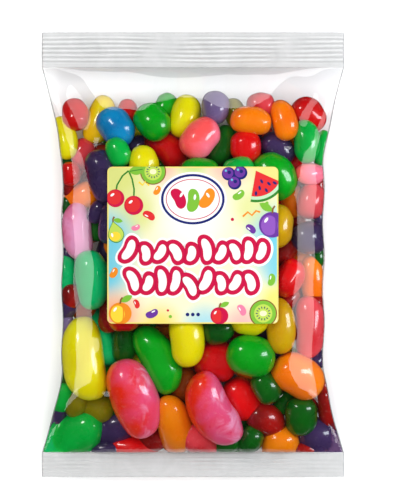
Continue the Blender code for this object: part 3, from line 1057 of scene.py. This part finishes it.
def flat_faces(mesh, outline, layer):
    """Adds a closed outline, given in mm from the sticker's middle, as triangles of a flat mesh."""
    face = mesh.faces.new(
        [mesh.verts.new((u * MM, LABEL_MIDDLE_Y + v * MM, layer * INK_STEP)) for u, v in outline]
    )
    face.normal_update()
    if face.normal.z < 0:
        face.normal_flip()
    return bmesh.ops.triangulate(mesh, faces=[face], ngon_method="EAR_CLIP")["faces"]


def make_label(material):
    """The sticker's sheet, a rounded oblong with thickness."""
    corner = LABEL_CORNER / MM
    a, b = LABEL_WIDTH / MM / 2 - corner, LABEL_HEIGHT / MM / 2 - corner
    outline = []
    for start, u, v in ((0, a, b), (90, -a, b), (180, -a, -b), (270, a, -b)):
        outline += sector(u, v, corner, start, start + 90, 6)[1:]
    mesh = bmesh.new()
    flat_faces(mesh, outline, 0)
    cut_to_label(mesh)
    made = bmesh.ops.extrude_face_region(mesh, geom=mesh.faces[:])["geom"]
    for vertex in made:
        if isinstance(vertex, bmesh.types.BMVert):
            vertex.co.z -= LABEL_THICKNESS
    bmesh.ops.recalc_face_normals(mesh, faces=mesh.faces[:])
    return bent_mesh("sticker", mesh, [material])


def make_print(inks):
    """The print: a mesh with one material for each ink."""
    names = list(inks)
    mesh = bmesh.new()
    for layer, ink, outline in label_print():
        for face in flat_faces(mesh, outline, layer):
            face.material_index = names.index(ink)
    cut_to_label(mesh)
    return bent_mesh("sticker_print", mesh, list(inks.values()))


def bent_mesh(name, mesh, materials):
    """Lays a flat mesh on the sticker's upper face and makes an object of it."""
    for vertex in mesh.verts:
        film = float(front_height(np.array(vertex.co.x), np.array(vertex.co.y)))
        vertex.co.z += film + LABEL_LIFT + LABEL_THICKNESS
    data = bpy.data.meshes.new(name)
    mesh.to_mesh(data)
    mesh.free()
    for material in materials:
        data.materials.append(material)
    return add_object(name, data)


# ---- Materials


class Nodes:
    """Adds nodes to a material and joins them."""

    def __init__(self, name):
        self.material = bpy.data.materials.new(name)
        self.material.use_nodes = True
        self.tree = self.material.node_tree
        self.tree.nodes.clear()
        self.output = self.tree.nodes.new("ShaderNodeOutputMaterial")

    def add(self, kind, values=None, **settings):
        node = self.tree.nodes.new(kind)
        for key, value in settings.items():
            setattr(node, key, value)
        for key, value in (values or {}).items():
            if isinstance(value, bpy.types.NodeSocket):
                self.tree.links.new(value, node.inputs[key])
            else:
                node.inputs[key].default_value = value
        return node

    def place(self):
        return self.add("ShaderNodeTexCoord").outputs["Object"]

    def noise(self, scale, detail=2.0, distortion=0.0):
        values = {"Vector": self.place(), "Scale": scale, "Detail": detail, "Distortion": distortion}
        return self.add("ShaderNodeTexNoise", values).outputs["Fac"]

    def between(self, value, low, high, out_low, out_high, **settings):
        values = {"Value": value, "From Min": low, "From Max": high, "To Min": out_low, "To Max": out_high}
        return self.add("ShaderNodeMapRange", values, **settings).outputs["Result"]

    def math(self, operation, a, b):
        return self.add("ShaderNodeMath", {0: a, 1: b}, operation=operation).outputs[0]

    def mix(self, factor, a, b, blend="MIX"):
        """A mix of two colours."""
        values = {0: factor, 6: a, 7: b}
        return self.add("ShaderNodeMix", values, data_type="RGBA", blend_type=blend).outputs[2]

    def blend(self, share, a, b):
        """A mix of two shaders."""
        return self.add("ShaderNodeMixShader", {0: share, 1: a.outputs[0], 2: b.outputs[0]})

    def bump(self, height, strength, distance):
        values = {"Height": height, "Strength": strength, "Distance": distance}
        return self.add("ShaderNodeBump", values).outputs["Normal"]

    def finish(self, shader):
        self.tree.links.new(shader.outputs[0], self.output.inputs["Surface"])
        return self.material

    def paint(self, tint, roughness, **values):
        """Finishes the material as a plain opaque one."""
        values = {"Base Color": tint, "Roughness": roughness, **values}
        return self.finish(self.add("ShaderNodeBsdfPrincipled", values))


def colour(red, green, blue):
    """A colour as Blender takes it, from the sRGB values 0 to 255 that a screen shows."""
    shown = np.array([red, green, blue]) / 255
    linear = np.where(shown <= 0.04045, shown / 12.92, ((shown + 0.055) / 1.055) ** 2.4)
    return (*linear.tolist(), 1.0)


def grey(value):
    return (value, value, value, 1.0)


# Each flavour's main colour, a second colour, how much of the second shows, from 0 to 1, and its slot's name
FLAVOURS = {
    "red": ((226, 8, 12), (176, 6, 12), 0.35, "red"),
    "dull_red": ((158, 16, 12), (112, 10, 10), 0.4, "red"),
    "green": ((0, 166, 22), (0, 138, 26), 0.35, "green"),
    "dark_green": ((8, 96, 14), (6, 62, 12), 0.4, "green"),
    "mint": ((0, 180, 68), (0, 152, 44), 0.35, "green"),
    "teal": ((6, 196, 118), (0, 166, 84), 0.4, "teal"),
    "lemon": ((234, 226, 0), (224, 206, 0), 0.35, "yellow"),
    "gold": ((206, 172, 2), (196, 138, 2), 0.45, "yellow"),
    "amber": ((226, 216, 8), (226, 172, 8), 0.35, "yellow"),
    "olive": ((138, 130, 2), (112, 100, 2), 0.4, "yellow"),
    "orange": ((246, 136, 2), (236, 100, 2), 0.4, "orange"),
    "rust": ((150, 64, 4), (110, 36, 4), 0.4, "orange"),
    "purple": ((66, 46, 92), (36, 28, 60), 0.45, "purple"),
    "lilac": ((124, 106, 146), (96, 78, 124), 0.45, "purple"),
    "light_pink": ((240, 160, 204), (232, 96, 140), 0.3, "pink"),
    "blush": ((224, 66, 76), (200, 30, 36), 0.45, "pink"),
    "salmon": ((255, 124, 150), (246, 84, 84), 0.4, "pink"),
    "pink_red": ((236, 80, 128), (236, 44, 18), 0.64, "pink"),
    "blue": ((0, 140, 196), (0, 104, 164), 0.4, "blue"),
}


@dataclass
class Shell:
    """How a sugar shell is coloured, with painted side light, and polished."""

    cloud_scale: float
    lean: float  # more of the second colour on the -X side: painted side light, as from the window light at +X
    softness: float  # of the border between the two colours
    speckle: float
    unevenness: float
    coat_roughness: float


PLAIN = Shell(42, 0.03, 0.22, 0.05, 0.25, 0.06)
MOTTLED = Shell(48, 0.26, 0.14, 0.16, 0.4, 0.10)
SHELLS = dict.fromkeys(("pink_red", "blush", "salmon", "dull_red", "light_pink"), MOTTLED)
PAINTED_SHEEN = (246, 190, 226)  # painted sheen: pale streaks on the lit +X side of the pink-red beans
SPECKLES = (1.0, 0.9, 0.8, 1.0)
TONES = (0.88, 1.06)  # the darkest and the brightest bean of a flavour
TONE_SHIFT = 0.08  # how much more or less of the second colour a bean has
GLAZE_ROUGHNESS = (0.24, 0.36)

FILM_TINT = (0.956, 0.957, 0.960, 1.0)
FILM_HAZE = (0.95, 0.96, 0.98, 1.0)
FILM_HAZINESS = (0.0, 0.001)  # from and to, as shares
FILM_MIRROR = 0.05
SEAL_TINT = 0.90
SEAL_MILK = 0.63
SEAL_MILKINESS = (0.62, 0.78)
SEAL_MIRROR = 0.06


def candy(flavour):
    """A sugar shell: a coloured body that light sinks into, speckled, under a polished, uneven glaze.
    Its colour holds painted side light, and on the pink-red beans painted sheen streaks.
    """
    main, second, share, _ = FLAVOURS[flavour]
    shell = SHELLS.get(flavour, PLAIN)
    nodes = Nodes(f"candy_{flavour}")
    tone = nodes.add("ShaderNodeAttribute", attribute_name="tone").outputs["Fac"]
    clouds = nodes.noise(shell.cloud_scale, detail=3.0, distortion=0.6)
    normal = nodes.add("ShaderNodeTexCoord").outputs["Normal"]
    sideways = nodes.add("ShaderNodeSeparateXYZ", {0: normal}).outputs[0]
    # Painted side light: more of the second colour on the -X side, away from the window light, and less on
    # the +X side that faces it
    lean = nodes.between(sideways, -1.0, 1.0, shell.lean, -shell.lean)
    shift = nodes.math("ADD", nodes.between(tone, 0.0, 1.0, -TONE_SHIFT, TONE_SHIFT), lean)
    edge = 0.5 + 0.25 * (1.0 - 2.0 * share)
    spread = nodes.math("ADD", clouds, shift)
    patches = nodes.between(spread, edge - shell.softness, edge + shell.softness, 0.0, 1.0)
    body = nodes.mix(patches, colour(*main), colour(*second))
    brightness = nodes.between(tone, 0.0, 1.0, *TONES)
    shade = nodes.add("ShaderNodeCombineColor", {0: brightness, 1: brightness, 2: brightness}).outputs[0]
    body = nodes.mix(1.0, body, shade, "MULTIPLY")
    if flavour == "pink_red":
        # painted sheen: pale streaks, only on the +X side, where the window light falls
        streaks = nodes.between(nodes.noise(85, detail=4.0, distortion=1.6), 0.50, 0.68, 0.0, 0.75)
        painted_sheen = nodes.math("MULTIPLY", streaks, nodes.between(sideways, -0.15, 0.6, 0.0, 0.7))
        body = nodes.mix(painted_sheen, body, colour(*PAINTED_SHEEN))
    speckle = nodes.between(nodes.noise(520), 0.62, 0.80, 0.0, shell.speckle)
    body = nodes.mix(speckle, body, nodes.mix(0.5, body, SPECKLES))
    rough = nodes.between(nodes.noise(160, detail=3.0), 0.3, 0.7, *GLAZE_ROUGHNESS)
    coat = {
        "Subsurface Weight": 0.12,
        "Subsurface Radius": (0.004, 0.002, 0.0015),
        "Subsurface Scale": 0.6,
        "Specular IOR Level": 0.25,
        "Coat Weight": 0.9,
        "Coat Roughness": shell.coat_roughness,
        "Normal": nodes.bump(nodes.noise(95), shell.unevenness, 0.0006),
    }
    return nodes.paint(body, rough, **coat)


def plastic(nodes, ripple, clear, milky, cloudiness, gloss, straight):
    """Film, part clear and part milky, that mirrors the share straight of the light it meets square on."""
    passing = nodes.add("ShaderNodeBsdfTransparent", {"Color": clear})
    scattered = nodes.add("ShaderNodeBsdfDiffuse", milky)
    mirror = nodes.add("ShaderNodeBsdfGlossy", {"Normal": ripple, **gloss})
    facing = nodes.add("ShaderNodeLayerWeight", {"Blend": 0.5, "Normal": ripple}).outputs["Facing"]
    mirrored = nodes.between(nodes.math("POWER", facing, 5.0), 0.0, 1.0, straight, 1.0)
    return nodes.finish(nodes.blend(mirrored, nodes.blend(cloudiness, passing, scattered), mirror))


def clear_film():
    """The clear part of the bag: it passes light straight, and mirrors more where it is seen aslant."""
    nodes = Nodes("clear_film")
    wrinkles = nodes.bump(nodes.noise(38, distortion=0.4), 0.10, 0.002)
    haze = {"Color": FILM_HAZE}
    cloudiness = nodes.between(nodes.noise(24, detail=4.0, distortion=0.8), 0.35, 0.75, *FILM_HAZINESS)
    gloss = {"Color": grey(1.0), "Roughness": 0.035}
    return plastic(nodes, wrinkles, FILM_TINT, haze, cloudiness, gloss, FILM_MIRROR)


def crimped_film():
    """The welded seal: whitened by the crimping, so it scatters light, and still lets some through."""
    nodes = Nodes("crimped_film")
    ripple = nodes.bump(nodes.noise(260), 0.25, 0.0004)
    milk = {"Color": grey(SEAL_MILK), "Normal": ripple}
    cloudiness = nodes.between(nodes.noise(90, detail=3.0, distortion=0.5), 0.3, 0.7, *SEAL_MILKINESS)
    return plastic(nodes, ripple, grey(SEAL_TINT), milk, cloudiness, {"Roughness": 0.16}, SEAL_MIRROR)


PRINT_SHADE = 0.84


def printed(red, green, blue):
    """A printed colour, given as it shows on the label under the studio's light."""
    return (*(part * PRINT_SHADE for part in colour(red, green, blue)[:3]), 1.0)


# Inks of the print
INKS = {
    "white": (255, 254, 252),
    "crimson": (206, 18, 70),
    "red": (228, 48, 52),
    "orange": (245, 144, 34),
    "yellow": (252, 220, 62),
    "cream": (252, 244, 196),
    "lime": (196, 222, 90),
    "green": (128, 192, 60),
    "leaf": (56, 134, 48),
    "mint": (196, 232, 190),
    "sky": (104, 200, 226),
    "navy": (28, 38, 112),
    "violet": (108, 56, 156),
    "plum": (146, 88, 188),
    "pink": (244, 132, 166),
    "brown": (140, 92, 44),
}

# Soft fields of colour under the print: u, v and reach in mm from the sticker's middle, and the colour
LABEL_GROUND = (248, 244, 206)
LABEL_FIELDS = (
    (-38, 34, 24, (222, 226, 130)),
    (-16, 40, 14, (250, 190, 166)),
    (0, 42, 13, (198, 224, 126)),
    (18, 40, 16, (250, 196, 176)),
    (40, 38, 19, (240, 226, 130)),
    (-28, 16, 16, (228, 230, 146)),
    (30, 18, 15, (232, 234, 160)),
    (-44, 2, 23, (116, 206, 226)),
    (-44, -14, 19, (116, 206, 226)),
    (44, 2, 24, (116, 206, 226)),
    (46, -12, 17, (126, 210, 226)),
    (42, -28, 15, (242, 232, 116)),
    (-38, -36, 19, (250, 178, 140)),
    (-16, -40, 16, (248, 226, 104)),
    (6, -40, 16, (168, 222, 234)),
    (24, -40, 15, (250, 188, 180)),
    (0, 12, 24, (253, 253, 242)),
)
FIELD_CORE = 0.25  # the share of its reach within which a field has its full colour
LABEL_RIM = 0.7  # mm, a plain pale rim
LABEL_RIM_COLOUR = (244, 226, 120)


def ink_material(name, shade):
    nodes = Nodes(f"ink_{name}")
    rough = nodes.between(nodes.noise(300), 0.3, 0.7, 0.42, 0.5)
    return nodes.paint(printed(*shade), rough, **{"Specular IOR Level": 0.15})


def label_material():
    """Satin paper with soft fields of pastel colour that run into each other, and a pale rim."""
    nodes = Nodes("sticker_paper")
    place = nodes.place()
    shade = printed(*LABEL_GROUND)
    for u, v, reach, field in LABEL_FIELDS:
        middle = (u * MM, LABEL_MIDDLE_Y + v * MM, CROWN_AT_TOP_SEAL)
        gap = nodes.add("ShaderNodeVectorMath", {0: place, 1: middle}, operation="DISTANCE")
        inner, outer = FIELD_CORE * reach * MM, reach * MM
        apart = gap.outputs["Value"]
        near = nodes.between(apart, inner, outer, 1.0, 0.0, interpolation_type="SMOOTHSTEP")
        shade = nodes.mix(near, shade, printed(*field))
    parts = nodes.add("ShaderNodeSeparateXYZ", {0: place})
    across = nodes.math("ABSOLUTE", parts.outputs[0], 0.0)
    up = nodes.math("ABSOLUTE", nodes.math("SUBTRACT", parts.outputs[1], LABEL_MIDDLE_Y), 0.0)
    at_side = nodes.math("GREATER_THAN", across, LABEL_WIDTH / 2 - LABEL_RIM * MM)
    at_end = nodes.math("GREATER_THAN", up, LABEL_HEIGHT / 2 - LABEL_RIM * MM)
    rim = nodes.math("MAXIMUM", at_side, at_end)
    shade = nodes.mix(rim, shade, printed(*LABEL_RIM_COLOUR))
    return nodes.paint(shade, nodes.between(nodes.noise(200), 0.3, 0.7, 0.44, 0.52))


def floor_material():
    nodes = Nodes("white_floor")
    return nodes.paint(nodes.mix(nodes.noise(3.0, detail=3.0), grey(0.90), grey(0.93)), 0.7)


# ---- Stage


CAMERA_DISTANCE = 2.0  # above the height at which the bag is widest
PHOTO_HEIGHT = 0.2475  # real size of what the picture's long side takes in
SENSOR = 36.0
CAMERA_X = 0.0045
CAMERA_Y = 0.0023

WHITE = (1.0, 1.0, 1.0)
WORLD_STRENGTH = 0.03
FLOOR_GAP = 0.0002  # under the bag
FLOOR_HALF = 2.5  # half its side

# Soft boxes: name, azimuth from +X and angle from straight up in degrees, distance, width along the horizon,
# height, how bright its face is, its colour, and what it lights
SOFT_BOXES = (
    ("left", 181, 58.7, 0.75, 0.50, 0.34, 3.4, WHITE, "film"),
    ("right", -4, 62.5, 0.75, 0.56, 0.44, 3.7, (1.0, 0.99, 0.98), "film"),
    ("top", 90, 70, 0.90, 0.80, 0.62, 3.8, WHITE, "film"),
    ("corner_left", 155, 70, 0.90, 0.26, 0.30, 2.8, WHITE, "film"),
    ("corner_right", 25, 70, 0.90, 0.24, 0.30, 2.8, WHITE, "film"),
    ("low_corner_left", 205, 71, 0.90, 0.18, 0.26, 3.0, WHITE, "film"),
    ("low_corner_right", -24, 71, 0.90, 0.20, 0.26, 2.6, (0.92, 0.95, 1.0), "film"),
    ("crimps_back", 90, 72, 1.00, 1.60, 0.40, 3.0, WHITE, "seals"),
    ("crimps_front", -90, 76, 1.00, 1.60, 0.40, 2.3, WHITE, "seals"),
    ("sky", 90, 0, 1.20, 1.80, 1.80, 2.1, WHITE, "rest"),
    ("key", 135, 44, 1.20, 0.24, 0.24, 19.0, (1.0, 0.98, 0.95), "rest"),
    ("window", 10, 60, 1.10, 0.28, 0.62, 13.5, (0.86, 0.93, 1.0), "rest"),
    ("floor_front", -90, 60, 1.20, 0.90, 0.50, 5.5, WHITE, "floor"),
    ("floor_left", 180, 60, 1.20, 0.90, 0.50, 1.5, WHITE, "floor"),
    ("floor_right", 0, 60, 1.20, 0.90, 0.50, 1.5, WHITE, "floor"),
    ("floor_back", 90, 80, 1.00, 1.60, 0.30, 1.6, WHITE, "floor"),
)


def add_camera():
    data = bpy.data.cameras.new("camera")
    data.sensor_width = SENSOR
    data.lens = SENSOR * CAMERA_DISTANCE / PHOTO_HEIGHT
    camera = add_object("camera", data)
    camera.location = (CAMERA_X, CAMERA_Y, SIDE_LEVEL + CAMERA_DISTANCE)
    bpy.context.scene.camera = camera


def add_soft_box(name, azimuth, slant, distance, width, height, brightness, tint):
    around, down = math.radians(azimuth), math.radians(slant)
    data = bpy.data.lights.new(name, "AREA")
    data.shape = "RECTANGLE"
    data.size = width
    data.size_y = height
    data.energy = brightness * math.pi * width * height
    data.color = tint
    light = add_object(name, data)
    light.location = (
        distance * math.sin(down) * math.cos(around),
        distance * math.sin(down) * math.sin(around),
        distance * math.cos(down) + SIDE_LEVEL,
    )
    light.rotation_euler = (down, 0.0, around + math.pi / 2)
    return light


def add_lights(film_piece, seals, floor):
    """Some boxes make the sheens on film or seals, or whiten the floor; the others light all but the film."""
    lit = {what: bpy.data.collections.new(f"lit_{what}") for what in ("film", "seals", "floor", "rest")}
    lit["film"].objects.link(film_piece)
    for seal in seals:
        lit["seals"].objects.link(seal)
    lit["floor"].objects.link(floor)
    lit["rest"].objects.link(film_piece)
    for member in lit["rest"].collection_objects:
        member.light_linking.link_state = "EXCLUDE"
    for *box, what in SOFT_BOXES:
        light = add_soft_box(*box)
        light.light_linking.receiver_collection = lit[what]
        light.visible_glossy = box[0] != "sky"


def add_stage():
    corners = [(x * FLOOR_HALF, y * FLOOR_HALF, 0.0) for x, y in ((-1, -1), (1, -1), (1, 1), (-1, 1))]
    floor = mesh_object("floor", corners, [(0, 1, 2, 3)], floor_material())
    floor.location.z = -FLOOR_GAP
    floor.visible_glossy = False
    scene = bpy.context.scene
    scene.world = bpy.data.worlds.new("studio")
    scene.world.use_nodes = True
    background = scene.world.node_tree.nodes["Background"]
    background.inputs["Color"].default_value = grey(1.0)
    background.inputs["Strength"].default_value = WORLD_STRENGTH
    scene.view_settings.view_transform = "Standard"
    return floor


def adopt(piece, slot, node):
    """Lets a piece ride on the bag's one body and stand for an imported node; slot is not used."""
    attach(piece, "root")
    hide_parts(node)


def main():
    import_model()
    add_camera()
    floor = add_stage()

    heap = Heap()
    front = [front_bean(*row) for row in FRONT_BEANS]
    place_front(front, heap)
    beans = front + hidden_beans(heap)
    for flavour, (*_, slot) in FLAVOURS.items():
        of_flavour = [bean for bean in beans if bean.flavour == flavour]
        adopt(bean_piece(flavour, of_flavour, candy(flavour)), slot, "bag")

    crimp = crimped_film()
    film = make_film(front, clear_film())
    seals = [
        make_seal("seal_top", TOP_EDGE, HALF_LENGTH, TOP_FLAT_SPOTS, crimp),
        make_seal("seal_bottom", BOTTOM_EDGE, -HALF_LENGTH, BOTTOM_FLAT_SPOTS, crimp),
    ]
    for piece in (film, *seals):
        adopt(piece, "film", "bag")
    adopt(make_label(label_material()), "label", "label")
    adopt(make_print({name: ink_material(name, shade) for name, shade in INKS.items()}), "label", "label")
    add_lights(film, seals, floor)

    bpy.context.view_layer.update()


main()
